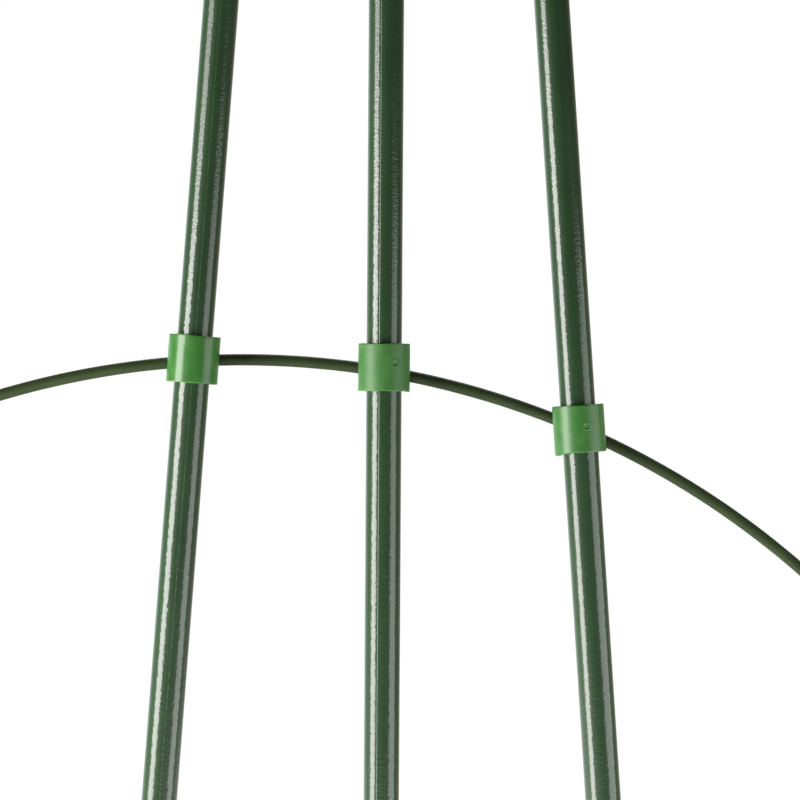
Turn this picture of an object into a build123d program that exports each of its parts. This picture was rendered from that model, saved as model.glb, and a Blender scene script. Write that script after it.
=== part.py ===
from build123d import *
from math import cos, radians, sin, sqrt, tan
import os

# A flat garden trellis: three coated steel stakes that lean together into one
# moulded connector, and three nested wire arches held behind them by sliding clips.
# X runs across the trellis, Y from front to back, Z up. The origin is the point of
# the middle stake. All sizes are in millimetres.

# Stakes
STAKE_LENGTH = 1200.0
STAKE_RADIUS = 5.5
SHEATH_WALL = 0.65
TUBE_WALL = 0.5
FAN_LEAN = 4.06          # degrees between the middle stake and each outer one
FOOT_SPREAD = 98.6       # from the middle stake's point to an outer stake's point
HAIR_GAP = 0.02          # between a skin and the steel inside it

# Feet of the stakes
FOOT_RADIUS = 6.2
POINT_RADIUS = 1.2
POINT_HEIGHT = 27.0
COLLAR_HEIGHT = 20.0
FOOT_FLOOR = 30.0        # how far up the foot its socket starts
SOCKET_GAP = 0.05

# Top connector
CONNECTOR_DEPTH = 42.0   # how much of the stakes it swallows
CONNECTOR_WALL = 2.1
CONNECTOR_ROOF = 3.6
CONNECTOR_ROUND = 3.0

# Wire arches
WIRE_RADIUS = 1.8
CORE_RADIUS = 1.3
WIRE_DEPTH = 7.5         # Y of every arch, just behind the stakes
ARCH_CENTRE = -42.5      # X of the arches' common centreline
ARCHES = {               # name: radius of the bend, height of the crown
    "inner": (265.0, 558.4),
    "middle": (325.0, 758.4),
    "outer": (385.0, 958.4),
}
CAP_RADIUS = 2.9         # soft cap on each wire end
CAP_LENGTH = 15.0
CAP_FLOOR = 3.0
CAP_ROUND = 1.6

# Clips
CLIP_RADIUS = 8.05
CLIP_BORE = 5.58
CLIP_HEIGHT = 14.7
CLIP_ROUND = 0.35
MOUTH_HALF_ANGLE = 43.0
JAW_INSIDE = 3.9
JAW_OUTSIDE = 6.6
JAW_BACK = 11.1
JAW_ROUND = 0.8
WINDOW_HEIGHT = 11.5
WINDOW_CLEARANCE = 0.25  # in front of the wire and behind it
CLIP_SEAT = {            # how far the middle of a clip sits above its wire
    "left": 0.4,
    "middle": 1.2,
    "right": 0.0,
}

SIDES = {"left": -1, "middle": 0, "right": 1}


def stake_frame(side, along=0.0):
    """Place on a stake's axis, this far from its point, with Z up the stake."""
    lean = -side * FAN_LEAN
    lift = STAKE_LENGTH * (1 - cos(radians(lean)))
    foot = Location((side * FOOT_SPREAD, 0, lift), (0, lean, 0))
    return foot * Location((0, 0, along))


def upright(radius, low, high):
    """Cylinder on the Z axis between two heights."""
    return Pos(0, 0, low) * Cylinder(
        radius, high - low, align=(Align.CENTER, Align.CENTER, Align.MIN)
    )


def sheath():
    """Plastic skin extruded over the stake's tube."""
    outside = upright(STAKE_RADIUS, FOOT_FLOOR + SOCKET_GAP, STAKE_LENGTH)
    return outside - upright(STAKE_RADIUS - SHEATH_WALL, 0, STAKE_LENGTH + 1)


def tube():
    """Thin-walled steel tube that carries the load."""
    radius = STAKE_RADIUS - SHEATH_WALL - HAIR_GAP
    outside = upright(radius, FOOT_FLOOR + SOCKET_GAP, STAKE_LENGTH)
    return outside - upright(radius - TUBE_WALL, 0, STAKE_LENGTH + 1)


def foot():
    """Moulded point with a collar that the stake is pushed into."""
    point = Cone(
        POINT_RADIUS, FOOT_RADIUS, POINT_HEIGHT,
        align=(Align.CENTER, Align.CENTER, Align.MIN),
    )
    point = fillet(point.edges().sort_by(Axis.Z)[0], POINT_RADIUS * 0.6)
    top = POINT_HEIGHT + COLLAR_HEIGHT
    body = point + upright(FOOT_RADIUS, POINT_HEIGHT, top)
    return body - upright(STAKE_RADIUS + SOCKET_GAP, FOOT_FLOOR, top + 1)


def top_connector():
    """Tapered block with three leaning sockets and a rounded roof."""
    radius = STAKE_RADIUS + SOCKET_GAP + CONNECTOR_WALL
    ends = []
    for height in (STAKE_LENGTH - CONNECTOR_DEPTH, STAKE_LENGTH + CONNECTOR_ROOF):
        spread = FOOT_SPREAD - height * tan(radians(FAN_LEAN))
        ends.append(Pos(0, 0, height) * SlotCenterToCenter(2 * spread, 2 * radius))
    block = loft(ends)
    roof = block.edges().group_by(Axis.Z)[-1]
    block = fillet(roof, CONNECTOR_ROUND)
    for side in SIDES.values():
        socket = upright(STAKE_RADIUS + SOCKET_GAP, 0, STAKE_LENGTH + SOCKET_GAP)
        block -= stake_frame(side) * socket
    return block


def arch_path(radius, crown, low):
    """Up one leg, over the half circle and down the other leg."""
    spring = crown - radius
    left, right = ARCH_CENTRE - radius, ARCH_CENTRE + radius
    up = Line((left, WIRE_DEPTH, low), (left, WIRE_DEPTH, spring))
    over = ThreePointArc(
        (left, WIRE_DEPTH, spring),
        (ARCH_CENTRE, WIRE_DEPTH, crown),
        (right, WIRE_DEPTH, spring),
    )
    down = Line((right, WIRE_DEPTH, spring), (right, WIRE_DEPTH, low))
    return up + over + down


def bent_rod(radius, crown, low, thickness):
    """Round rod of this radius of section along the arch."""
    path = arch_path(radius, crown, low)
    section = Plane(origin=path @ 0, z_dir=path % 0) * Circle(thickness)
    return sweep(section, path=path)


def wire_coating(radius, crown):
    """PVC skin on the wire."""
    low = CAP_FLOOR + SOCKET_GAP
    hollow = bent_rod(radius, crown, low - 1, CORE_RADIUS + HAIR_GAP)
    return bent_rod(radius, crown, low, WIRE_RADIUS) - hollow


def wire_core(radius, crown):
    """Steel wire inside the skin."""
    return bent_rod(radius, crown, CAP_FLOOR + SOCKET_GAP, CORE_RADIUS)


def end_cap(x):
    """Soft blunt cap pushed on a wire end."""
    cap = upright(CAP_RADIUS, 0, CAP_LENGTH)
    cap = fillet(cap.edges().sort_by(Axis.Z)[0], CAP_ROUND)
    cap = fillet(cap.edges().sort_by(Axis.Z)[-1], CAP_ROUND / 4)
    cap -= upright(WIRE_RADIUS + SOCKET_GAP, CAP_FLOOR, CAP_LENGTH + 1)
    return Pos(x, WIRE_DEPTH, 0) * cap


def clip():
    """Sleeve that snaps on a stake from the front, with two windowed jaws behind."""
    half = CLIP_HEIGHT / 2
    sleeve = upright(CLIP_RADIUS, -half, half)
    sleeve = fillet(sleeve.edges().filter_by(GeomType.CIRCLE), CLIP_ROUND)
    jaw_width = JAW_OUTSIDE - JAW_INSIDE
    jaw_middle = (JAW_OUTSIDE + JAW_INSIDE) / 2
    from_axis_back = (Align.CENTER, Align.MIN, Align.CENTER)
    block = Box(jaw_width, JAW_BACK, CLIP_HEIGHT, align=from_axis_back)
    block = fillet(block.faces().sort_by(Axis.Y)[-1].edges(), JAW_ROUND)
    reach = 2 * CLIP_RADIUS
    gape = reach * tan(radians(MOUTH_HALF_ANGLE))
    wedge = Polygon((0, 0), (-gape, reach), (gape, reach), align=None)
    mouth = Pos(0, 0, -half - 1) * extrude(wedge, CLIP_HEIGHT + 2)
    body = sleeve - mouth
    for side in (-1, 1):
        body += Pos(side * jaw_middle, 0, 0) * block
    body -= upright(CLIP_BORE, -half - 1, half + 1)
    near = WIRE_DEPTH - WIRE_RADIUS - WINDOW_CLEARANCE
    depth = 2 * (WIRE_RADIUS + WINDOW_CLEARANCE)
    window = Pos(0, near, 0) * Box(2 * reach, depth, WINDOW_HEIGHT, align=from_axis_back)
    return body - window


def crossing(side, radius, crown):
    """Distance along a stake at which an arch's centreline passes behind it."""
    foot = stake_frame(side).position
    lean = radians(-side * FAN_LEAN)
    across, up = foot.X - ARCH_CENTRE, foot.Z - (crown - radius)
    middle = -(across * sin(lean) + up * cos(lean))
    return middle + sqrt(middle ** 2 - across ** 2 - up ** 2 + radius ** 2)


def build():
    """Every piece by its node's name."""
    parts = {"top_connector": top_connector()}
    for place, side in SIDES.items():
        for piece in (sheath, tube, foot):
            parts[f"stake_{place}_{piece.__name__}"] = stake_frame(side) * piece()
    for name, (radius, crown) in ARCHES.items():
        parts[f"arch_{name}_coating"] = wire_coating(radius, crown)
        parts[f"arch_{name}_core"] = wire_core(radius, crown)
        parts[f"arch_{name}_left_cap"] = end_cap(ARCH_CENTRE - radius)
        parts[f"arch_{name}_right_cap"] = end_cap(ARCH_CENTRE + radius)
        for place, side in SIDES.items():
            along = crossing(side, radius, crown) + CLIP_SEAT[place]
            parts[f"clip_{name}_{place}"] = stake_frame(side, along) * clip()
    return parts


os.makedirs("parts", exist_ok=True)
for name, shape in build().items():
    shape.label = name
    export_step(shape, f"parts/{name}.step")
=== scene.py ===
import bmesh
import bpy
import numpy as np
from mathutils import Matrix, Vector


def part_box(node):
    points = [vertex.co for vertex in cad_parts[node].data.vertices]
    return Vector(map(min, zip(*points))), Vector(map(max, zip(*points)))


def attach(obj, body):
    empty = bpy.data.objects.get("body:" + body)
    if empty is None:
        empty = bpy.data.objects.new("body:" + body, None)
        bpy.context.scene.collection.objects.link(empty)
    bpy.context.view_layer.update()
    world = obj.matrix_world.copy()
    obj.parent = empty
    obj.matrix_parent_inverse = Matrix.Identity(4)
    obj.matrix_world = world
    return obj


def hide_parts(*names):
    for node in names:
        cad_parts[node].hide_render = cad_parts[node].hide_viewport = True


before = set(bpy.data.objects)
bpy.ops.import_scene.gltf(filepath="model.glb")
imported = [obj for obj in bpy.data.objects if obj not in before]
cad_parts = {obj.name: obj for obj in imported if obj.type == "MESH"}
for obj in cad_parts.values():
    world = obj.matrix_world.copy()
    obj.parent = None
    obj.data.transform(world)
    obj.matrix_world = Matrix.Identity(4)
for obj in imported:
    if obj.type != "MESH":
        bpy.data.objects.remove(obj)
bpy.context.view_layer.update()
mm = 0.001


# ---------------------------------------------------------------- camera
# A long lens looks square on at the place where the innermost wire passes
# behind the three stakes. The frame takes in a quarter of a metre there.
foot_low, foot_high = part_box("stake_middle_foot")
clip_low, clip_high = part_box("clip_inner_middle")
stake_x = (foot_low.x + foot_high.x) / 2
crossing_z = (clip_low.z + clip_high.z) / 2

view_width = 248.2 * mm
view_distance = 1.30
view_aside = 5.0 * mm
view_drop = 10.1 * mm
camera_roll = 0.373  # degrees
sensor_width = 36.0  # millimetres
view_centre = Vector((stake_x + view_aside, 0.0, crossing_z - view_drop))

camera_data = bpy.data.cameras.new("camera")
camera_data.sensor_width = sensor_width
camera_data.lens = sensor_width * view_distance / view_width
camera_data.clip_start = 0.05
camera_data.clip_end = 60.0
camera = bpy.data.objects.new("camera", camera_data)
camera.matrix_world = (
    Matrix.Translation(view_centre - Vector((0, view_distance, 0)))
    @ Matrix.Rotation(np.radians(90), 4, "X")
    @ Matrix.Rotation(np.radians(camera_roll), 4, "Z")
)
bpy.context.scene.collection.objects.link(camera)
bpy.context.scene.camera = camera


# ---------------------------------------------------------------- stake tubes
# A thin-walled steel tube, roll-formed from strip and drawn bright, carries
# each stake. The skin, the foot and the connector close it in all round.
def node_adder(tree):
    """Function that adds a node to a tree, with its settings and its inputs linked or set."""
    def add(kind, inputs=None, **settings):
        node = tree.nodes.new(kind)
        for key, value in settings.items():
            setattr(node, key, value)
        for key, value in (inputs or {}).items():
            if isinstance(value, bpy.types.NodeSocket):
                tree.links.new(value, node.inputs[key])
            else:
                node.inputs[key].default_value = value
        return node

    return add


def new_material(name):
    """Node material with its shader, a function that adds a node and one that links two."""
    material = bpy.data.materials.new(name)
    material.use_nodes = True
    tree = material.node_tree
    return material, tree.nodes["Principled BSDF"], node_adder(tree), tree.links.new


def drawn_steel():
    """Bright steel with draw marks along the length and a little dulling."""
    material, shader, add, link = new_material("drawn_steel")
    place = add("ShaderNodeTexCoord")
    along = add("ShaderNodeMapping", {"Vector": place.outputs["Object"], "Scale": (1, 1, 0.03)})
    marks = add("ShaderNodeTexNoise", {"Vector": along.outputs[0], "Scale": 1800.0, "Detail": 3.0})
    tone = add("ShaderNodeValToRGB", {"Fac": marks.outputs[0]})
    tone.color_ramp.elements[0].color = (0.36, 0.36, 0.37, 1)
    tone.color_ramp.elements[1].color = (0.62, 0.62, 0.63, 1)
    link(tone.outputs[0], shader.inputs["Base Color"])
    dull = add("ShaderNodeMapRange", {"Value": marks.outputs[0], "To Min": 0.24, "To Max": 0.42})
    link(dull.outputs[0], shader.inputs["Roughness"])
    shader.inputs["Metallic"].default_value = 1.0
    return material


steel = drawn_steel()
stake_places = ("left", "middle", "right")
for place in stake_places:
    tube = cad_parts[f"stake_{place}_tube"]
    tube.data.materials.clear()
    tube.data.materials.append(steel)


# ---------------------------------------------------------------- stake skins
# A skin of dark green polyethylene is run over each tube hot from a die, so
# it is glossy and finely rippled along its length. A scratch in the die
# leaves a hair-thin raised line down each.
stake_radius = 5.5 * mm
skin_wall = 0.65 * mm
swell_height = 0.006 * mm
line_width = np.radians(0.62)
line_reach = np.radians(2.4)  # to each side of a line, where the mesh is finer
line_clear = np.radians(3.2)  # to each side, where no even column stands
die_lines = {  # bearing in degrees, height
    "left": (4.0, 0.050 * mm),
    "middle": (-14.5, 0.035 * mm),
    "right": (152.0, 0.040 * mm),
}


def lean_axes(place):
    """Low end and high end of a stake's axis, and its along, across and back directions.

    The tube's points spread furthest along its axis, so that is their first
    principal direction, kept in the plane of the trellis. The ends are the
    least and the greatest reach along it from the middle of the tube's box.
    """
    co = np.array([v.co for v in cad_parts[f"stake_{place}_tube"].data.vertices])
    centre = (co.min(0) + co.max(0)) / 2
    along = np.linalg.svd(co - centre, full_matrices=False)[2][0]
    along = along * np.sign(along[2]) * np.array([1.0, 0.0, 1.0])
    along /= np.linalg.norm(along)
    reach = (co - centre) @ along
    back = np.array([0.0, 1.0, 0.0])
    across = np.array([along[2], 0.0, -along[0]])
    return centre + reach.min() * along, centre + reach.max() * along, along, across, back


def grid_mesh(name, points, across, along, loop_rows=False, loop_columns=True, flip=False, weld=False):
    """Quads over a grid of points, with a UV map in millimetres.

    Row i, column j is a corner. The rows or the columns may close on
    themselves. across and along give each column's and row's UV, one more
    than the columns or rows where they close. flip turns the faces over, and
    weld makes corners that lie together one.
    """
    rows, columns = points.shape[:2]
    i, j = np.meshgrid(
        np.arange(rows if loop_rows else rows - 1),
        np.arange(columns if loop_columns else columns - 1), indexing="ij",
    )
    i, j = i.ravel(), j.ravel()
    corners_i = np.stack([i, i, i + 1, i + 1], -1)
    corners_j = np.stack([j, j + 1, j + 1, j], -1)
    if flip:
        corners_i, corners_j = corners_i[:, ::-1], corners_j[:, ::-1]
    faces = (corners_i % rows) * columns + corners_j % columns
    mesh = bpy.data.meshes.new(name)
    mesh.vertices.add(rows * columns)
    mesh.vertices.foreach_set("co", points.astype(np.float32).ravel())
    mesh.loops.add(faces.size)
    mesh.loops.foreach_set("vertex_index", faces.astype(np.int32).ravel())
    mesh.polygons.add(len(faces))
    mesh.polygons.foreach_set("loop_start", np.arange(0, faces.size, 4, dtype=np.int32))
    mesh.update(calc_edges=True)
    uv = np.stack([np.asarray(across)[corners_j], np.asarray(along)[corners_i]], -1)
    layer = mesh.uv_layers.new(name="skin")
    layer.data.foreach_set("uv", uv.astype(np.float32).ravel())
    mesh.polygons.foreach_set("use_smooth", np.ones(len(faces), bool))
    if weld:
        work = bmesh.new()
        work.from_mesh(mesh)
        bmesh.ops.remove_doubles(work, verts=work.verts, dist=0.001 * mm)
        work.to_mesh(mesh)
        work.free()
    mesh.validate()
    return mesh


def add_piece(name, mesh, body, material, slot, *replaced):
    """Object that rides on a body, wears a material and stands for CAD nodes."""
    piece = bpy.data.objects.new(name, mesh)
    bpy.context.scene.collection.objects.link(piece)
    mesh.materials.append(material)
    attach(piece, body)
    if replaced:
        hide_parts(*replaced)
    return piece


def swell(rng, at, shortest, longest, waves=24):
    """Sum of random sine waves of unit size along the positions given."""
    lengths = rng.uniform(shortest, longest, waves)
    phases = rng.uniform(0, 2 * np.pi, waves)
    return np.sin(2 * np.pi * at[:, None] / lengths + phases).sum(1) / np.sqrt(waves)


def skin_mesh(place, rows=700, columns=108):
    """Tube wall round a leaning axis: bearing by distance along the stake.

    A point is one radius out from the axis at its bearing, plus a narrow
    bell-shaped line at one bearing and a slow swell along the stake. The
    inner wall is a plain circle, joined to the outer one at both ends.
    """
    low, high, along, across, back = lean_axes(place)
    length = np.linalg.norm(high - low)
    line = np.radians(die_lines[place][0])
    line_height = die_lines[place][1]
    near_line = line + np.linspace(-line_reach, line_reach, 13)
    even = np.linspace(-np.pi, np.pi, columns, endpoint=False)
    even = even[np.abs(even - line) > line_clear]
    bearing = np.sort(np.concatenate([even, near_line]))
    out = np.sin(bearing)[:, None] * across - np.cos(bearing)[:, None] * back
    ring = stake_radius * out
    ridge = line_height * np.exp(-(((bearing - line) / line_width) ** 2) / 2)
    ring += ridge[:, None] * out
    rng = np.random.default_rng(sum(map(ord, place)))
    reach = np.linspace(0, length, rows)
    slow = swell(rng, reach, 30 * mm, 120 * mm) * swell_height
    outside = ring[None] + slow[:, None, None] * out
    inside = np.repeat((stake_radius - skin_wall) * out[None], 2, axis=0)
    reach = np.concatenate([reach, [length, 0.0]])
    points = low + reach[:, None, None] * along + np.concatenate([outside, inside])
    around_mm = np.append(bearing, np.pi * 2 + bearing[0]) * stake_radius / mm
    along_mm = np.append(reach, reach[0]) / mm
    return grid_mesh(f"stake_{place}_skin", points, around_mm, along_mm, loop_rows=True)


def skin_plastic(place, number):
    """Glossy dark green polyethylene with streaks, ripples and specks along one stake."""
    low, _, along = lean_axes(place)[:3]
    material, shader, add, link = new_material(f"skin_plastic_{place}")
    coordinates = add("ShaderNodeTexCoord")
    local = add(
        "ShaderNodeMapping", {
            "Vector": coordinates.outputs["Object"],
            "Location": tuple(low),
            "Rotation": (0, float(np.arctan2(along[0], along[2])), 0),
        }, vector_type="TEXTURE",
    )
    streak_space = add("ShaderNodeMapping", {
        "Vector": local.outputs[0], "Scale": (1, 1, 0.012), "Location": (number, 0, 0)})
    streaks = add("ShaderNodeTexNoise", {
        "Vector": streak_space.outputs[0], "Scale": 1500.0, "Detail": 3.0, "Roughness": 0.6})
    cloud = add("ShaderNodeTexNoise", {
        "Vector": local.outputs[0], "Scale": 60.0, "Detail": 3.0, "Roughness": 0.55})
    mix = add("ShaderNodeMix", {
        "Factor": 0.35, "A": cloud.outputs[0], "B": streaks.outputs[0]}, data_type="FLOAT")
    tone = add("ShaderNodeValToRGB", {"Fac": mix.outputs[0]})
    tone.color_ramp.elements[0].position = 0.25
    tone.color_ramp.elements[0].color = (0.0095, 0.0335, 0.0085, 1)
    tone.color_ramp.elements[1].position = 0.75
    tone.color_ramp.elements[1].color = (0.0150, 0.0480, 0.0140, 1)
    dust = add("ShaderNodeTexNoise", {
        "Vector": local.outputs[0], "Scale": 1300.0, "Detail": 2.0, "Roughness": 0.5})
    specks = add("ShaderNodeMapRange", {
        "Value": dust.outputs[0], "From Min": 0.735, "From Max": 0.79, "To Min": 0.0, "To Max": 0.5})
    dusty = add("ShaderNodeMix", {
        "Factor": specks.outputs[0], "A": tone.outputs[0], "B": (0.14, 0.17, 0.13, 1)}, data_type="RGBA")
    link(dusty.outputs["Result"], shader.inputs["Base Color"])
    wear = add("ShaderNodeMapRange", {
        "Value": streaks.outputs[0], "From Min": 0.3, "From Max": 0.7, "To Min": 0.38, "To Max": 0.46})
    link(wear.outputs[0], shader.inputs["Roughness"])
    peel_space = add("ShaderNodeMapping", {"Vector": local.outputs[0], "Scale": (1, 1, 1.3)})
    peel = add("ShaderNodeTexNoise", {
        "Vector": peel_space.outputs[0], "Scale": 900.0, "Detail": 2.0, "Roughness": 0.55})
    waves_space = add("ShaderNodeMapping", {"Vector": local.outputs[0], "Scale": (0.35, 0.35, 0.12)})
    waves = add("ShaderNodeTexNoise", {
        "Vector": waves_space.outputs[0], "Scale": 900.0, "Detail": 2.0, "Roughness": 0.5})
    fine = add("ShaderNodeBump", {"Height": peel.outputs[0], "Distance": 0.075 * mm, "Strength": 1.0})
    rippled = add("ShaderNodeBump", {
        "Height": waves.outputs[0], "Normal": fine.outputs[0], "Distance": 0.03 * mm, "Strength": 1.0})
    link(rippled.outputs[0], shader.inputs["Normal"])
    link(rippled.outputs[0], shader.inputs["Coat Normal"])
    shader.inputs["IOR"].default_value = 1.5
    shader.inputs["Specular IOR Level"].default_value = 0.3
    shader.inputs["Coat Weight"].default_value = 1.0
    shader.inputs["Coat Roughness"].default_value = 0.06
    shader.inputs["Coat IOR"].default_value = 1.5
    return material


for number, place in enumerate(stake_places):
    add_piece(
        f"stake_{place}_skin", skin_mesh(place), "stakes", skin_plastic(place, number),
        "stake_plastic", f"stake_{place}_sheath",
    )


# ---------------------------------------------------------------- stake feet
# A moulded polypropylene point with a collar is pushed over each stake's low
# end, to go into the ground. The two mould halves leave a fine seam on it.
foot_radius = 6.2 * mm
point_radius = 1.2 * mm
point_height = 27.0 * mm
foot_height = 47.0 * mm
foot_floor = 30.0 * mm
socket_radius = 5.55 * mm
socket_gap = 0.05 * mm
seam_height = 0.06 * mm
seam_width = 1.6  # degrees


def profile_reach(profile):
    """Distance along a profile from its first point to each of its points."""
    steps = np.diff(np.array(profile), axis=0, prepend=[profile[0]])
    return np.cumsum(np.hypot(*steps.T))


def turned_mesh(name, base, along, across, back, profile, columns, seam=0.0):
    """Profile of radius and height turned round an axis, with two mould seams.

    Each seam is a narrow bell-shaped ridge at the left or right, which fades
    in over the first 0.4 mm outside the socket's radius.
    """
    radius, height = np.array(profile).T
    bearing = np.linspace(-np.pi, np.pi, columns, endpoint=False)
    off = (np.degrees(bearing) + 90) % 180
    off = np.minimum(off, 180 - off)
    ridge = seam * np.exp(-((off / seam_width) ** 2))
    outer = np.clip((radius - socket_radius) / (0.4 * mm), 0, 1)
    wide = radius[:, None] + ridge[None, :] * outer[:, None]
    ring = np.sin(bearing)[:, None] * across - np.cos(bearing)[:, None] * back
    points = base + height[:, None, None] * along + wide[..., None] * ring
    around_mm = np.append(bearing, np.pi) * radius.max() / mm
    return grid_mesh(name, points, around_mm, profile_reach(profile) / mm, weld=True)


def arc(radius_at, height_at, size, start, end, steps=7):
    """Points of an arc in radius and height, between two angles in degrees."""
    angle = np.radians(np.linspace(start, end, steps))
    return list(zip(radius_at + size * np.cos(angle), height_at + size * np.sin(angle)))


def satin_moulding(name, low_tone, high_tone, rough):
    """Satin moulded plastic: cloudy tone, fine spark-eroded grain and soft sheen."""
    material, shader, add, link = new_material(name)
    place = add("ShaderNodeTexCoord")
    cloud = add("ShaderNodeTexNoise", {
        "Vector": place.outputs["Object"], "Scale": 180.0, "Detail": 4.0})
    tone = add("ShaderNodeValToRGB", {"Fac": cloud.outputs[0]})
    tone.color_ramp.elements[0].position = 0.3
    tone.color_ramp.elements[0].color = low_tone
    tone.color_ramp.elements[1].position = 0.7
    tone.color_ramp.elements[1].color = high_tone
    link(tone.outputs[0], shader.inputs["Base Color"])
    grain = add("ShaderNodeTexNoise", {
        "Vector": place.outputs["Object"], "Scale": 2600.0, "Detail": 2.0})
    bump = add("ShaderNodeBump", {
        "Height": grain.outputs[0], "Distance": 0.012 * mm, "Strength": 1.0})
    link(bump.outputs[0], shader.inputs["Normal"])
    worn = add("ShaderNodeMapRange", {
        "Value": cloud.outputs[0], "To Min": rough - 0.06, "To Max": rough + 0.06})
    link(worn.outputs[0], shader.inputs["Roughness"])
    return material


foot_plastic = satin_moulding(
    "foot_plastic", (0.010, 0.030, 0.009, 1), (0.016, 0.044, 0.014, 1), 0.38)
lip_round = 0.25 * mm
foot_nose = [(0.0, 0.0), (0.45 * mm, 0.02 * mm), (0.85 * mm, 0.15 * mm), (1.2 * mm, 0.5 * mm)]
foot_cone = list(zip(
    np.linspace(point_radius + 0.35 * mm, foot_radius - 0.12 * mm, 30),
    np.linspace(1.2 * mm, point_height - 0.6 * mm, 30),
))
foot_collar = [
    (foot_radius - 0.02 * mm, point_height + 0.3 * mm),
    *[(foot_radius, h) for h in np.linspace(point_height + mm, foot_height - 0.3 * mm, 16)],
    *arc(foot_radius - lip_round, foot_height - lip_round, lip_round, 10, 90, 5),
]
foot_socket = [
    (socket_radius + 0.15 * mm, foot_height), (socket_radius, foot_height - 0.2 * mm),
    *[(socket_radius, h) for h in np.linspace(foot_height - mm, foot_floor + 0.1 * mm, 10)],
    (0.0, foot_floor),
]
foot_profile = foot_nose + foot_cone + foot_collar + foot_socket
for place in stake_places:
    low, _, along, across, back = lean_axes(place)
    base = low - (foot_floor + socket_gap) * along
    name = f"stake_{place}_point"
    mesh = turned_mesh(name, base, along, across, back, foot_profile, 72, seam=seam_height)
    add_piece(name, mesh, "stakes", foot_plastic, "cap_plastic", f"stake_{place}_foot")


# ---------------------------------------------------------------- top connector
# One moulded block with three leaning sockets ties the stakes' top ends
# together. It tapers upwards for the draft of its mould and has a seam line.
connector_low, connector_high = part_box("top_connector")
connector_radius = (connector_high.y - connector_low.y) / 2
roof_round = 3.0 * mm
connector_seam = 0.05 * mm
connector_seam_width = 0.035  # in the sine of the bearing
connector_uv_radius = 12.0  # millimetres
fan_lean = 4.06  # degrees between neighbouring stakes
lean_tangent = float(np.tan(np.radians(fan_lean)))
low_spread = (connector_high.x - connector_low.x) / 2 - connector_radius
high_spread = low_spread - (connector_high.z - connector_low.z) * lean_tangent


def connector_mesh(columns=160):
    """Slot-shaped outline carried up a tapering wall, over a round edge and closed.

    The outline is a straight run with a half circle at each end; its middle
    spread shrinks with height and its radius follows the roof's round edge.
    """
    tall = connector_high.z - connector_low.z
    edge = [
        (connector_radius + r, h)
        for r, h in arc(-roof_round, tall - roof_round, roof_round, 0, 90, 12)
    ]
    profile = [
        (0.0, 0.0), (connector_radius - 1.0 * mm, 0.0), (connector_radius - 0.3 * mm, 0.0),
        (connector_radius - 0.08 * mm, 0.08 * mm), (connector_radius, 0.3 * mm),
        *[(connector_radius, h) for h in np.linspace(mm, tall - roof_round - 0.5 * mm, 30)],
        *edge, (2.0 * mm, tall), (0.0, tall),
    ]
    radius, height = np.array(profile).T
    turn = np.linspace(0, 2 * np.pi, columns, endpoint=False)
    off = np.abs(np.sin(turn))
    seam = connector_seam * np.exp(-((off / connector_seam_width) ** 2))
    wall = (radius > connector_radius - 0.4 * mm)[:, None]
    spread = np.interp(height, [0, tall], [low_spread, high_spread])
    x = spread[:, None] * np.sign(np.cos(turn)) * (np.abs(np.cos(turn)) > 1e-9)
    x = x + (radius[:, None] + seam * wall) * np.cos(turn)
    y = radius[:, None] * np.sin(turn)
    z = np.repeat(height[:, None], columns, axis=1)
    middle = Vector((connector_low + connector_high) / 2)
    points = np.stack([x + middle.x, y + middle.y, z + connector_low.z], -1)
    around_mm = np.append(turn, 2 * np.pi) * connector_uv_radius
    return grid_mesh(
        "top_connector_body", points, around_mm, profile_reach(profile) / mm, weld=True)


def cut_sockets(mesh):
    """Take a round bore round each stake out of the block, up to the stakes' tops."""
    block = bpy.data.objects.new("block", mesh)
    bpy.context.scene.collection.objects.link(block)
    cutters = []
    drill_length = 120 * mm
    bore = [(0.0, 0.0), (socket_radius, 0.0), (socket_radius, drill_length), (0.0, drill_length)]
    for place in stake_places:
        _, high, along, across, back = lean_axes(place)
        base = high - (drill_length - socket_gap) * along
        shape = turned_mesh("drill", base, along, across, back, bore, 96)
        drill = bpy.data.objects.new("drill", shape)
        bpy.context.scene.collection.objects.link(drill)
        cut = block.modifiers.new("cut", "BOOLEAN")
        cut.object = drill
        cut.solver = "EXACT"
        cutters.append(drill)
    cut_block = block.evaluated_get(bpy.context.evaluated_depsgraph_get())
    result = bpy.data.meshes.new_from_object(cut_block)
    for part in (block, *cutters):
        bpy.data.objects.remove(part)
    result.polygons.foreach_set("use_smooth", np.ones(len(result.polygons), bool))
    result.set_sharp_from_angle(angle=np.radians(35))
    result.materials.clear()
    return result


connector = cut_sockets(connector_mesh())
connector.name = "top_connector_body"
add_piece("top_connector_body", connector, "stakes", foot_plastic, "cap_plastic", "top_connector")


# ---------------------------------------------------------------- arch wires
# Each arch is one length of drawn steel wire in a satin olive PVC skin, bent
# round a former to a half circle with two straight legs.
wire_radius = 1.8 * mm
core_radius = 1.3 * mm
hair_gap = 0.02 * mm  # between the core and its skin, and down the core's middle
skin_lumps = 0.012 * mm
arch_names = ("inner", "middle", "outer")


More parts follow.
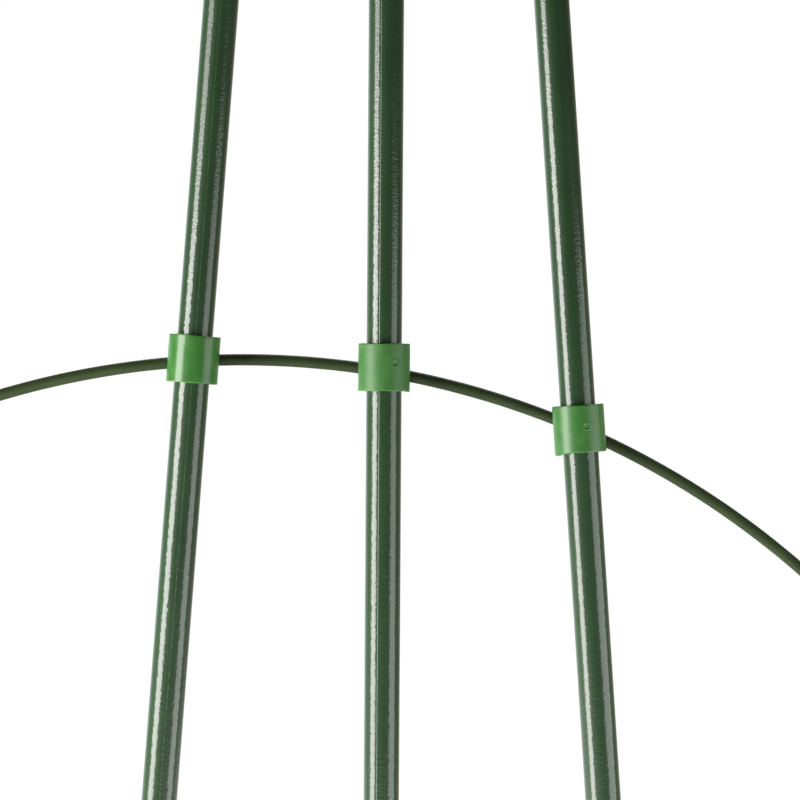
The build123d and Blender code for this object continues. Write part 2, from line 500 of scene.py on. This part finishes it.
def arch_line(name, spacing=4.5 * mm):
    """Points along an arch's centreline, the outward direction there and the reach.

    A straight leg up, a half circle over and a straight leg down; outward is
    away from the half circle's centre, or sideways on the legs.
    """
    low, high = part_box(f"arch_{name}_core")
    centre_x, depth = (low.x + high.x) / 2, (low.y + high.y) / 2
    bend = (high.x - low.x) / 2 - core_radius
    spring = high.z - core_radius - bend
    leg = np.linspace(low.z, spring, int((spring - low.z) / spacing), endpoint=False)
    turn = np.linspace(np.pi, 0, int(np.pi * bend / spacing))
    angle = np.concatenate([np.full(len(leg), np.pi), turn, np.zeros(len(leg))])
    height = np.concatenate([leg - spring, np.zeros(len(turn)), leg[::-1] - spring])
    outward = np.stack([np.cos(angle), np.zeros_like(angle), np.sin(angle)], -1)
    centre = np.array([centre_x, depth, spring]) + height[:, None] * np.array([0.0, 0.0, 1.0])
    line = centre + bend * outward
    steps = np.linalg.norm(np.diff(line, axis=0), axis=1)
    reach = np.concatenate([[0.0], np.cumsum(steps)])
    return line, outward, reach


def rod_mesh(name, arch, outer, inner, columns, rough):
    """Round wall carried along an arch: up at one radius and back at the other.

    The outer radius swells and shrinks a little along the way, by rough.
    """
    line, outward, reach = arch_line(arch)
    bearing = np.linspace(0, 2 * np.pi, columns, endpoint=False)
    back = np.array([0.0, 1.0, 0.0])
    rng = np.random.default_rng(sum(map(ord, name)))
    bumps = swell(rng, reach, 12 * mm, 50 * mm) * rough
    ring = np.cos(bearing)[:, None] * outward[:, None, :] + np.sin(bearing)[:, None] * back
    outside = line[:, None, :] + (outer + bumps)[:, None, None] * ring
    inside = line[:, None, :] + inner * ring
    points = np.concatenate([outside, inside[::-1]])
    around_mm = np.append(bearing, 2 * np.pi) * outer / mm
    along_mm = np.concatenate([reach, reach[::-1], reach[:1]]) / mm
    return grid_mesh(name, points, around_mm, along_mm, loop_rows=True, flip=True)


def wire_pvc():
    """Satin olive green PVC with fine draw streaks and small lumps."""
    material, shader, add, link = new_material("wire_pvc")
    skin = add("ShaderNodeUVMap", uv_map="skin")
    streak_space = add("ShaderNodeMapping", {"Vector": skin.outputs[0], "Scale": (1.8, 0.03, 1)})
    streaks = add("ShaderNodeTexNoise", {
        "Vector": streak_space.outputs[0], "Scale": 1.0, "Detail": 3.0, "Roughness": 0.6})
    place = add("ShaderNodeTexCoord")
    cloud = add("ShaderNodeTexNoise", {
        "Vector": place.outputs["Object"], "Scale": 120.0, "Detail": 3.0})
    mix = add("ShaderNodeMix", {
        "Factor": 0.5, "A": cloud.outputs[0], "B": streaks.outputs[0]}, data_type="FLOAT")
    tone = add("ShaderNodeValToRGB", {"Fac": mix.outputs[0]})
    tone.color_ramp.elements[0].position = 0.3
    tone.color_ramp.elements[0].color = (0.020, 0.033, 0.009, 1)
    tone.color_ramp.elements[1].position = 0.7
    tone.color_ramp.elements[1].color = (0.031, 0.050, 0.014, 1)
    link(tone.outputs[0], shader.inputs["Base Color"])
    lumps = add("ShaderNodeTexNoise", {
        "Vector": place.outputs["Object"], "Scale": 900.0, "Detail": 2.0})
    bump = add("ShaderNodeBump", {
        "Height": lumps.outputs[0], "Distance": 0.02 * mm, "Strength": 1.0})
    link(bump.outputs[0], shader.inputs["Normal"])
    shader.inputs["Roughness"].default_value = 0.55
    shader.inputs["Specular IOR Level"].default_value = 0.22
    shader.inputs["IOR"].default_value = 1.5
    return material


pvc = wire_pvc()
for arch in arch_names:
    name = f"arch_{arch}_skin"
    mesh = rod_mesh(name, arch, wire_radius, core_radius + hair_gap, 36, skin_lumps)
    add_piece(name, mesh, f"{arch}_arch", pvc, "wire_coat", f"arch_{arch}_coating")
    name = f"arch_{arch}_wire"
    mesh = rod_mesh(name, arch, core_radius, hair_gap, 20, 0.0)
    add_piece(name, mesh, f"{arch}_arch", steel, "steel", f"arch_{arch}_core")


# ---------------------------------------------------------------- wire end caps
# A soft blunt cap, dip-moulded in dark green vinyl, is pushed on each end of
# the wires so that they don't cut hands or rust in the soil.
cap_radius = 2.9 * mm
cap_height = 15.0 * mm
cap_floor = 3.0 * mm
cap_round = 1.6 * mm
cap_bore = 1.85 * mm
cap_waist = 0.03 * mm
cap_side = 12.9 * mm
cap_lip = 0.35 * mm
cap_vinyl = satin_moulding(
    "cap_vinyl", (0.009, 0.026, 0.008, 1), (0.014, 0.038, 0.012, 1), 0.46)
cap_profile = [
    (0.0, 0.0), (0.7 * mm, 0.0), *arc(cap_radius - cap_round, cap_round, cap_round, -90, 0, 10),
    *[
        (cap_radius - cap_waist * np.sin(np.pi * share), cap_round + share * cap_side)
        for share in np.linspace(0.04, 0.97, 24)
    ],
    *arc(cap_radius - cap_lip, cap_height - cap_lip, cap_lip, 0, 90, 6),
    (cap_bore + 0.2 * mm, cap_height), (cap_bore, cap_height - 0.2 * mm),
    *[(cap_bore, h) for h in np.linspace(cap_height - mm, cap_floor + 0.1 * mm, 8)],
    (0.0, cap_floor),
]
sideways, rearward, upward = np.eye(3)
for arch in arch_names:
    for side in ("left", "right"):
        cap_low, cap_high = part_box(f"arch_{arch}_{side}_cap")
        base = np.array([(cap_low.x + cap_high.x) / 2, (cap_low.y + cap_high.y) / 2, cap_low.z])
        name = f"arch_{arch}_{side}_tip"
        mesh = turned_mesh(name, base, upward, sideways, rearward, cap_profile, 48)
        add_piece(
            name, mesh, f"{arch}_arch", cap_vinyl, "cap_plastic", f"arch_{arch}_{side}_cap")


# ---------------------------------------------------------------- clips
# Injection-moulded polypropylene clips, mid green and semi-gloss. A sleeve
# snaps on the stake from the front, and two windowed jaws behind hold the
# wire. The moulding leaves a gate mark, uneven rims and a little flash.
clip_radius = 8.02 * mm
clip_bore = 5.62 * mm
clip_half = 7.35 * mm
rim_round = 0.35 * mm
rim_waves = 0.022 * mm
dent_depth = 0.010 * mm
rim_start, rim_fade = 0.93, 0.05  # shares of the half height
mouth_half_angle = 47.4  # degrees, which puts the sleeve's ends between a jaw's two faces
jaw_inside, jaw_outside = 3.9 * mm, 6.6 * mm
jaw_front, jaw_back = 4.25 * mm, 11.1 * mm
window_front, window_back = 5.45 * mm, 9.55 * mm
window_half = 5.75 * mm
window_power, plate_power = 14, 16  # of the superellipses, so their corners are tight
sleeve_uv_step, jaw_uv_step, jaw_uv_radius = 0.3, 0.8, 7.0  # millimetres


def clip_axes(arch, place):
    """Centre of a clip on its stake, with the stake's directions."""
    low, _, along, across, back = lean_axes(place)
    box_low, box_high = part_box(f"clip_{arch}_{place}")
    centre = Vector((box_low + box_high) / 2)
    point = np.array([centre.x, 0.0, centre.z])
    return low + ((point - low) @ along) * along, along, across, back


def wall_section(points_up=84):
    """Outline of the sleeve's wall: radius and height round a rounded rectangle.

    It starts low on the outside, goes up the outside face, over the top, down
    the bore and back under, with each corner a quarter circle.
    """
    quarter = np.linspace(0, np.pi / 2, 6)
    top, low = clip_half - rim_round, -clip_half + rim_round
    up = np.linspace(low, top, points_up)[1:-1]
    down = np.linspace(top, low, 12)[1:-1]
    out, inn = clip_radius - rim_round, clip_bore + rim_round
    radius = np.concatenate([
        np.full(len(up), clip_radius), out + rim_round * np.cos(quarter),
        inn - rim_round * np.sin(quarter), np.full(len(down), clip_bore),
        inn - rim_round * np.cos(quarter), out + rim_round * np.sin(quarter),
    ])
    height = np.concatenate([
        up, top + rim_round * np.sin(quarter), top + rim_round * np.cos(quarter),
        down, low - rim_round * np.sin(quarter), low - rim_round * np.cos(quarter),
    ])
    return radius, height


def gate_mark(away, nib):
    """Height of a gate mark in millimetres, by the distance from its middle.

    A bell-shaped ring stands round a flat-bottomed dimple, with a nib in the
    middle and a shallow sink all round.
    """
    ring_height, ring_radius, ring_width = 0.09, 1.05, 0.25
    dimple_depth, dimple_radius = 0.20, 0.75
    sink_depth, sink_radius = 0.02, 2.2
    nib_radius = 0.28
    ring = ring_height * np.exp(-(((away - ring_radius) / ring_width) ** 2))
    dimple = dimple_depth * np.exp(-((away / dimple_radius) ** 4))
    sink = sink_depth * np.exp(-((away / sink_radius) ** 2))
    return ring - dimple - sink + nib * np.exp(-((away / nib_radius) ** 2))


def sleeve_points(rng, gate, flash):
    """Sleeve as bearing by section, in the clip's own frame of across, back and up.

    The outside is moved by slow dents, the gate's ring and nib and a shallow
    sink round it; the rims are moved up and down by small waves and flash. A
    row drawn together to one point closes each end of the wall at the mouth.
    """
    radius, height = wall_section()
    reach = np.radians(180 - mouth_half_angle)
    bearing = np.linspace(-reach, reach, 250)
    b, h = np.meshgrid(bearing, height, indexing="ij")
    r = np.tile(radius, (len(bearing), 1))
    outside = np.clip((r - clip_bore) / (clip_radius - clip_bore), 0, 1) ** 4
    around, upwards = rng.uniform(1, 7, 10), rng.uniform(0.5, 4, 10)
    starts = rng.uniform(0, 6.3, (2, 10))
    dents = sum(
        np.sin(k * b + p) * np.sin(m * h / clip_half + q)
        for k, m, p, q in zip(around, upwards, *starts)
    )
    r += outside * dents * dent_depth
    if gate:
        gate_bearing, gate_height, nib = gate
        away = np.hypot((b - np.radians(gate_bearing)) * clip_radius, h - gate_height * mm) / mm
        r += outside * gate_mark(away, nib) * mm
    edge = np.abs(h) / clip_half
    rim = np.clip((edge - rim_start) / rim_fade, 0, 1)
    waves = sum(np.sin(k * b + p) for k, p in zip(rng.uniform(2, 17, 8), rng.uniform(0, 6.3, 8)))
    h = h + rim * np.sign(h) * waves * rim_waves
    for flash_bearing, width, size, side in flash:
        lip = np.exp(-(((np.degrees(b) - flash_bearing) / width) ** 4))
        h = h + np.where(np.sign(h) == side, rim * lip * side * size * mm * outside, 0)
    b, r, h = (np.concatenate([rows[:1], rows, rows[-1:]]) for rows in (b, r, h))
    r[[0, -1]] = (clip_radius + clip_bore) / 2
    h[[0, -1]] = 0.0
    return b, r, h


def jaw_points(side):
    """One jaw: a plate with a window, as section by bearing round the window.

    Both outlines are superellipses in back and up, so corners are rounded.
    The section goes from the window out over the inner face, round the
    plate's rim and back over the outer face, with a soft edge at each turn.
    """
    turn = np.linspace(0, 2 * np.pi, 96, endpoint=False)

    def outline(front, rear, half, power, grow):
        a, c = (rear - front) / 2 + grow, half + grow
        size = (np.abs(np.cos(turn) / a) ** power + np.abs(np.sin(turn) / c) ** power) ** (-1 / power)
        return (front + rear) / 2 + size * np.cos(turn), size * np.sin(turn)

    soft = 0.25 * mm
    edge = ((0, soft), (soft / 3, soft / 3), (soft, 0))  # grown by, in from the face
    section = [
        *[("window", grow, jaw_inside + inset) for grow, inset in edge],
        *[("plate", -grow, jaw_inside + inset) for grow, inset in edge[::-1]],
        *[("plate", -grow, jaw_outside - inset) for grow, inset in edge],
        *[("window", grow, jaw_outside - inset) for grow, inset in edge[::-1]],
    ]
    rows = []
    for which, grow, x in section:
        if which == "window":
            y, z = outline(window_front, window_back, window_half, window_power, grow)
        else:
            y, z = outline(jaw_front, jaw_back, clip_half, plate_power, grow)
        rows.append(np.stack([np.full_like(y, side * x), y, z], -1))
    return np.array(rows), turn


def join_meshes(name, meshes):
    """One mesh from several, keeping their UV maps."""
    whole = bpy.data.objects.new(name, meshes[0])
    bpy.context.scene.collection.objects.link(whole)
    others = []
    for mesh in meshes[1:]:
        part = bpy.data.objects.new(name + "_part", mesh)
        bpy.context.scene.collection.objects.link(part)
        others.append(part)
    with bpy.context.temp_override(active_object=whole, selected_editable_objects=[whole, *others]):
        bpy.ops.object.join()
    mesh = whole.data
    bpy.data.objects.remove(whole)
    return mesh


def clip_mesh(arch, place, gate, flash):
    """Sleeve and two jaws placed on the stake."""
    name = f"clip_{arch}_{place}_moulding"
    centre, along, across, back = clip_axes(arch, place)
    rng = np.random.default_rng(sum(map(ord, arch + place)))
    b, r, h = sleeve_points(rng, gate, flash)
    local = np.stack([r * np.sin(b), -r * np.cos(b), h], -1)
    axes = np.stack([across, back, along])
    around_mm = np.arange(b.shape[1] + 1) * sleeve_uv_step
    along_mm = b[:, 0] * clip_radius / mm
    meshes = [grid_mesh(name, centre + local @ axes, around_mm, along_mm, flip=True, weld=True)]
    for side in (-1, 1):
        rows, turn = jaw_points(side)
        meshes.append(grid_mesh(
            name + "_jaw", centre + rows @ axes, np.append(turn, 2 * np.pi) * jaw_uv_radius,
            np.arange(len(rows) + 1) * jaw_uv_step, loop_rows=True, flip=side < 0,
        ))
    return join_meshes(name, meshes)


def clip_plastic(number, rough):
    """Semi-gloss mid green polypropylene, faintly mottled and a little translucent."""
    material, shader, add, link = new_material(f"clip_plastic_{number}")
    place = add("ShaderNodeTexCoord")
    space = add("ShaderNodeMapping", {
        "Vector": place.outputs["Object"], "Location": (number * 0.37, 0, 0)})
    cloud = add("ShaderNodeTexNoise", {
        "Vector": space.outputs[0], "Scale": 260.0, "Detail": 4.0, "Roughness": 0.6})
    tone = add("ShaderNodeValToRGB", {"Fac": cloud.outputs[0]})
    tone.color_ramp.elements[0].position = 0.3
    tone.color_ramp.elements[0].color = (0.020, 0.112, 0.010, 1)
    tone.color_ramp.elements[1].position = 0.7
    tone.color_ramp.elements[1].color = (0.032, 0.150, 0.018, 1)
    link(tone.outputs[0], shader.inputs["Base Color"])
    grain = add("ShaderNodeTexNoise", {
        "Vector": space.outputs[0], "Scale": 1900.0, "Detail": 3.0, "Roughness": 0.6})
    shine = add("ShaderNodeMapRange", {
        "Value": cloud.outputs[0], "From Min": 0.3, "From Max": 0.7, "To Min": 0.40, "To Max": 0.50})
    link(shine.outputs[0], shader.inputs["Roughness"])
    dents = add("ShaderNodeTexNoise", {
        "Vector": space.outputs[0], "Scale": 420.0, "Detail": 2.0, "Roughness": 0.5})
    wavy = add("ShaderNodeBump", {"Height": dents.outputs[0], "Distance": 0.03 * mm, "Strength": 1.0})
    fine = add("ShaderNodeBump", {
        "Height": grain.outputs[0], "Normal": wavy.outputs[0], "Distance": 0.006 * mm, "Strength": 1.0})
    link(fine.outputs[0], shader.inputs["Normal"])
    link(fine.outputs[0], shader.inputs["Coat Normal"])
    shader.inputs["IOR"].default_value = 1.5
    shader.inputs["Specular IOR Level"].default_value = 0.35
    shader.inputs["Coat Weight"].default_value = 0.62
    shader.inputs["Coat Roughness"].default_value = rough
    shader.inputs["Coat IOR"].default_value = 1.5
    shader.inputs["Subsurface Weight"].default_value = 0.12
    shader.inputs["Subsurface Radius"].default_value = (0.4, 1.0, 0.3)
    shader.inputs["Subsurface Scale"].default_value = 1.2 * mm
    return material


clip_roughness = (0.17, 0.60, 0.33, 0.20, 0.28, 0.24, 0.35, 0.21, 0.30)
# Gate: bearing in degrees, height in millimetres, nib in millimetres.
gates = {
    ("inner", "middle"): (26.0, 1.2, 0.10),
    ("inner", "right"): (15.0, 0.7, 0.34),
    ("middle", "left"): (20.0, 0.8, 0.10),
    ("outer", "right"): (-18.0, 1.0, 0.12),
}
# Flash: bearing, width in degrees, size in millimetres, top (1) or bottom (-1).
flashes = {
    ("inner", "left"): ((-28.0, 26.0, 0.35, 1),),
    ("inner", "middle"): ((76.0, 7.0, 0.45, -1), (-20.0, 30.0, 0.10, -1)),
    ("inner", "right"): ((-66.0, 22.0, 0.85, -1), (2.0, 5.0, 0.40, -1), (-26.0, 9.0, 0.25, 1)),
    ("middle", "middle"): ((40.0, 10.0, 0.35, -1),),
    ("outer", "left"): ((-50.0, 14.0, 0.30, -1),),
}
for number, (arch, place) in enumerate((a, p) for a in arch_names for p in stake_places):
    mesh = clip_mesh(arch, place, gates.get((arch, place)), flashes.get((arch, place), ()))
    add_piece(
        f"clip_{arch}_{place}_moulding", mesh, f"{arch}_{place}_clip",
        clip_plastic(number, clip_roughness[number]), "clip_plastic", f"clip_{arch}_{place}",
    )


# ---------------------------------------------------------------- floor and light
# A pale round floor that the lamps leave alone, so that it stays even, and
# soft lamps: a tall bank on the left, a near card on the right that ends below
# the top of the view, low fills in front and at the left, and one high behind.
floor_radius = 3.2
floor_drop = 0.6 * mm


def floor_mesh(rings=40, columns=96):
    """Flat disc as rings by bearing, closer together near the middle."""
    radius = floor_radius * np.linspace(0.001, 1, rings) ** 1.5
    bearing = np.linspace(0, 2 * np.pi, columns, endpoint=False)
    x = radius[:, None] * np.cos(bearing)
    y = radius[:, None] * np.sin(bearing)
    points = np.stack([x, y, np.full_like(x, -floor_drop)], -1)
    return grid_mesh("floor", points, np.append(bearing, 2 * np.pi), radius)


def floor_paper():
    """Pale matt paper that glows a little more towards its rim."""
    material, shader, add, link = new_material("floor_paper")
    place = add("ShaderNodeTexCoord")
    away = add("ShaderNodeVectorMath", {0: place.outputs["Object"]}, operation="LENGTH")
    glow = add("ShaderNodeMapRange", {
        "Value": away.outputs["Value"], "From Min": 0.7, "From Max": floor_radius,
        "To Min": 0.62, "To Max": 0.94})
    link(glow.outputs[0], shader.inputs["Emission Strength"])
    shader.inputs["Emission Color"].default_value = (1, 1, 1, 1)
    shader.inputs["Base Color"].default_value = (0.78, 0.78, 0.77, 1)
    shader.inputs["Roughness"].default_value = 0.9
    return material


floor = bpy.data.objects.new("floor", floor_mesh())
floor.data.materials.append(floor_paper())
bpy.context.scene.collection.objects.link(floor)
not_the_floor = bpy.data.collections.new("not_the_floor")
not_the_floor.objects.link(floor)
not_the_floor.collection_objects[0].light_linking.link_state = "EXCLUDE"


def add_lamp(name, place, aim, width, height, radiance, colour=(1, 1, 1), levels=None):
    """Rectangular lamp facing a point, of even radiance or changing up its height.

    levels holds (height, share) pairs: the share of the radiance at heights
    above the floor, for a lamp that stands upright.
    """
    data = bpy.data.lights.new(name, "AREA")
    data.shape = "RECTANGLE"
    data.size, data.size_y = width, height
    data.energy = radiance * np.pi * width * height
    data.color = colour
    lamp = bpy.data.objects.new(name, data)
    facing = (place - aim).to_track_quat("Z", "Y").to_matrix().to_4x4()
    lamp.matrix_world = Matrix.Translation(place) @ facing
    lamp.visible_camera = False
    lamp.light_linking.receiver_collection = not_the_floor
    bpy.context.scene.collection.objects.link(lamp)
    if levels:
        data.use_nodes = True
        tree = data.node_tree
        add = node_adder(tree)
        lowest, highest = place.z - height / 2, place.z + height / 2
        place_on = add("ShaderNodeNewGeometry")
        split = add("ShaderNodeSeparateXYZ", {0: place_on.outputs["Position"]})
        up = add("ShaderNodeMapRange", {
            "Value": split.outputs["Z"], "From Min": lowest, "From Max": highest})
        ramp = add("ShaderNodeValToRGB", {"Fac": up.outputs[0]})
        stops = ramp.color_ramp.elements
        for _ in levels[2:]:
            stops.new(1.0)
        for stop, (level_height, share) in zip(stops, levels):
            stop.position = (level_height - lowest) / (highest - lowest)
            stop.color = (share, share, share, 1)
        tree.links.new(ramp.outputs[0], tree.nodes["Emission"].inputs["Strength"])
    return lamp


def beside(azimuth, distance, height):
    """Point at a bearing from the middle stake, counted from the camera to the right."""
    turn = np.radians(azimuth)
    return Vector((stake_x + distance * np.sin(turn), -distance * np.cos(turn), height))


bank_distance = 0.80
bank_left, bank_right = beside(-77, bank_distance, 0), beside(-46, bank_distance, 0)
bank_low, bank_high = 0.05, 0.95
bank_levels = (
    (bank_low, 0.52), (0.30, 0.66), (0.58, 0.79), (0.626, 1.02), (0.66, 0.70), (0.70, 0.45),
    (0.75, 0.34), (bank_high, 0.26),
)
bank_place = (bank_left + bank_right) / 2 + Vector((0, 0, (bank_low + bank_high) / 2))
add_lamp(
    "left_bank", bank_place, Vector((stake_x, 0, bank_place.z)),
    width=(bank_left - bank_right).length, height=bank_high - bank_low, radiance=15.0,
    colour=(1.0, 0.985, 0.955), levels=bank_levels,
)
card_near, card_far = Vector((0.69, -0.615, 0)), Vector((0.255, 0.015, 0))
card_low, card_high = 0.10, crossing_z + 0.0605
card_place = (card_near + card_far) / 2 + Vector((0, 0, (card_low + card_high) / 2))
card_side = (card_far - card_near).normalized()
card_aim = card_place + Vector((-card_side.y, card_side.x, 0))
add_lamp(
    "right_card", card_place, card_aim,
    width=(card_far - card_near).length, height=card_high - card_low, radiance=3.1,
    levels=((card_low, 1.2), (0.40, 1.05), (card_high, 0.62)),
)
add_lamp(
    "low_fill", Vector((stake_x, -0.42, 0.16)), Vector((stake_x, 0, 0.46)),
    width=0.5, height=0.3, radiance=2.2,
)
add_lamp(
    "low_left", Vector((-0.52, 0.06, 0.07)), Vector((stake_x, 0, 0.50)),
    width=0.5, height=0.3, radiance=19.0,
)
add_lamp(
    "high_behind", Vector((stake_x + 0.25, 1.30, 2.30)), Vector((stake_x, 0, 0.60)),
    width=1.6, height=1.0, radiance=5.0,
)

# The room glows round the horizon behind the stakes, cooler at the left and
# dimmer and warmer at the right, and is dark elsewhere. Seen straight on it is white.
left_glow = (1.06, 1.20, 1.16, 1)
right_glow = (0.46, 0.40, 0.32, 1)
dark = (0.06, 0.06, 0.06, 1)
world = bpy.data.worlds.new("room")
bpy.context.scene.world = world
world.use_nodes = True
world.node_tree.nodes.clear()
add = node_adder(world.node_tree)
towards = add("ShaderNodeTexCoord")
split = add("ShaderNodeSeparateXYZ", {0: towards.outputs["Generated"]})
behind = add("ShaderNodeMapRange", {
    "Value": split.outputs["Y"], "From Min": 0.2, "From Max": 0.9})
aside = add("ShaderNodeMapRange", {
    "Value": split.outputs["X"], "From Min": -0.6, "From Max": 0.6})
above = add("ShaderNodeMapRange", {
    "Value": split.outputs["Z"], "From Min": 0.05, "From Max": 0.45, "To Min": 1.0, "To Max": 0.12})
horizon = add("ShaderNodeMix", {
    "Factor": aside.outputs[0], "A": left_glow, "B": right_glow}, data_type="RGBA")
walls = add("ShaderNodeMix", {
    "Factor": behind.outputs[0], "A": dark, "B": horizon.outputs["Result"]}, data_type="RGBA")
glow = add("ShaderNodeBackground", {
    "Color": walls.outputs["Result"], "Strength": above.outputs[0]})
white = add("ShaderNodeBackground", {"Color": (1, 1, 1, 1), "Strength": 1.02})
ray = add("ShaderNodeLightPath")
seen = add("ShaderNodeMixShader", {
    0: ray.outputs["Is Camera Ray"], 1: glow.outputs[0], 2: white.outputs[0]})
add("ShaderNodeOutputWorld", {"Surface": seen.outputs[0]})

bpy.context.scene.view_settings.view_transform = "Standard"
